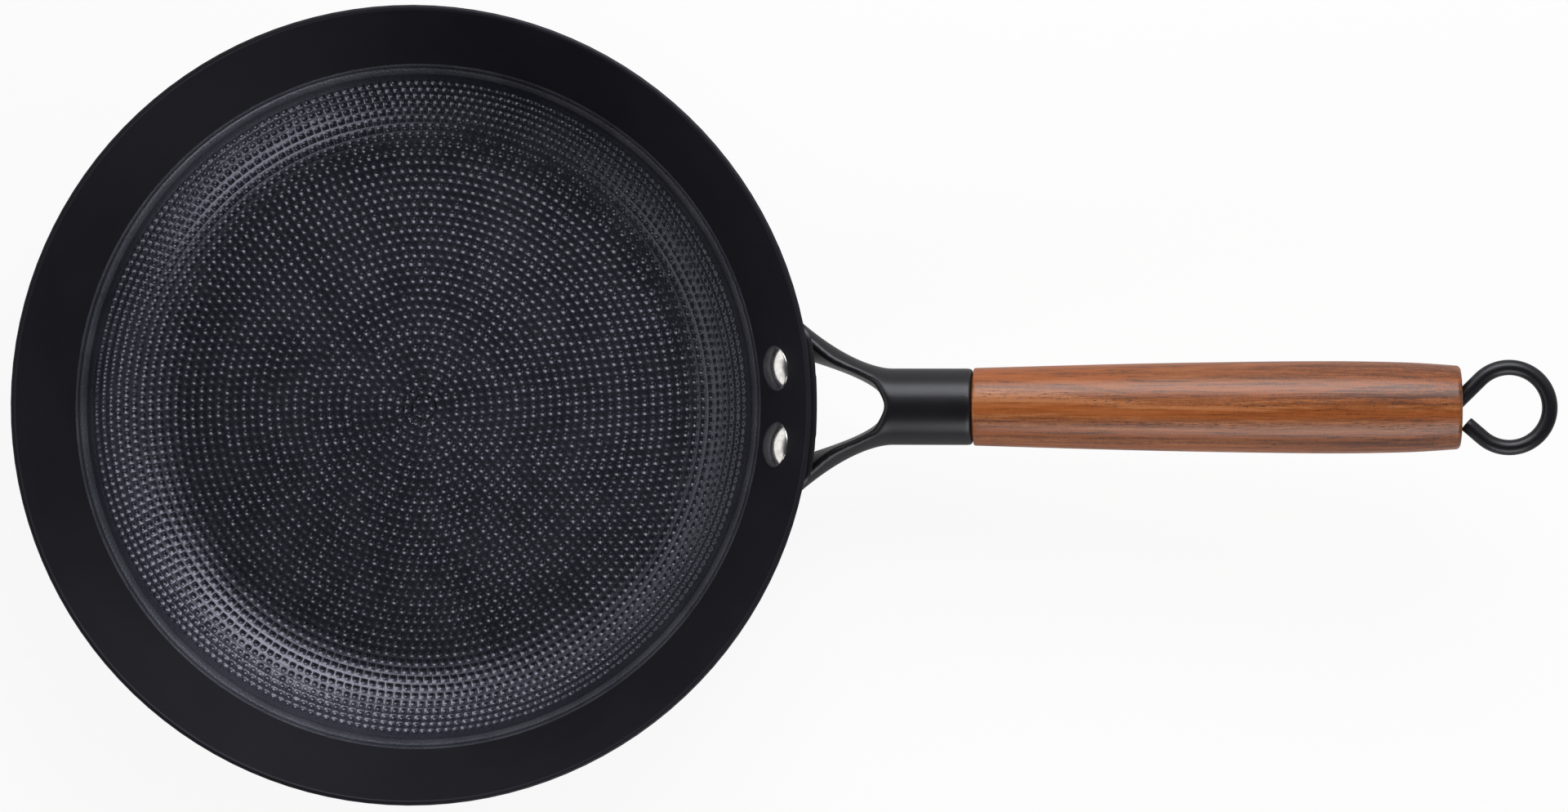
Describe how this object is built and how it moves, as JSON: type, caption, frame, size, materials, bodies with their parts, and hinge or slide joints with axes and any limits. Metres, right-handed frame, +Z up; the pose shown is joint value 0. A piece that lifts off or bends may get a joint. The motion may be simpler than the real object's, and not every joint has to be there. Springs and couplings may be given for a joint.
{
  "type": "frying pan",
  "caption": "Thin dimpled iron frying pan with a smooth flared wall, a riveted fork bracket, a turned wooden grip and a looped rod to hang it by.",
  "frame": {"origin": "centre of the flat base's underside, on the bowl's axis", "axes": "+X along the handle, from the bowl towards the hook; +Z up, out of the bowl's mouth; +Y to the left when looking along the handle"},
  "size_m": [0.5384, 0.28, 0.0716],
  "materials": {
    "black_iron": "matte black, dimpled below a smooth band",
    "bracket_paint": "satin black",
    "rivet_metal": "bright, polished",
    "grip_wood": "satin oiled, reddish brown with dark pores",
    "hook_paint": "satin black",
    "nut_steel": "zinc plated"
  },
  "bodies": {
    "pan": {"pan_bowl": "black_iron", "handle_bracket": "bracket_paint", "rivet_left": "rivet_metal", "rivet_right": "rivet_metal", "grip": "grip_wood", "socket_nut": "nut_steel"},
    "hook": {"hanging_hook": "hook_paint"}
  },
  "joints": [
    {"name": "hook_turn", "type": "hinge", "parent": "pan", "child": "hook", "pos_m": [0.13407, 0, 0.033], "axis": [0.9945, 0, 0.1045], "range_deg": [0, 90]}
  ]
}
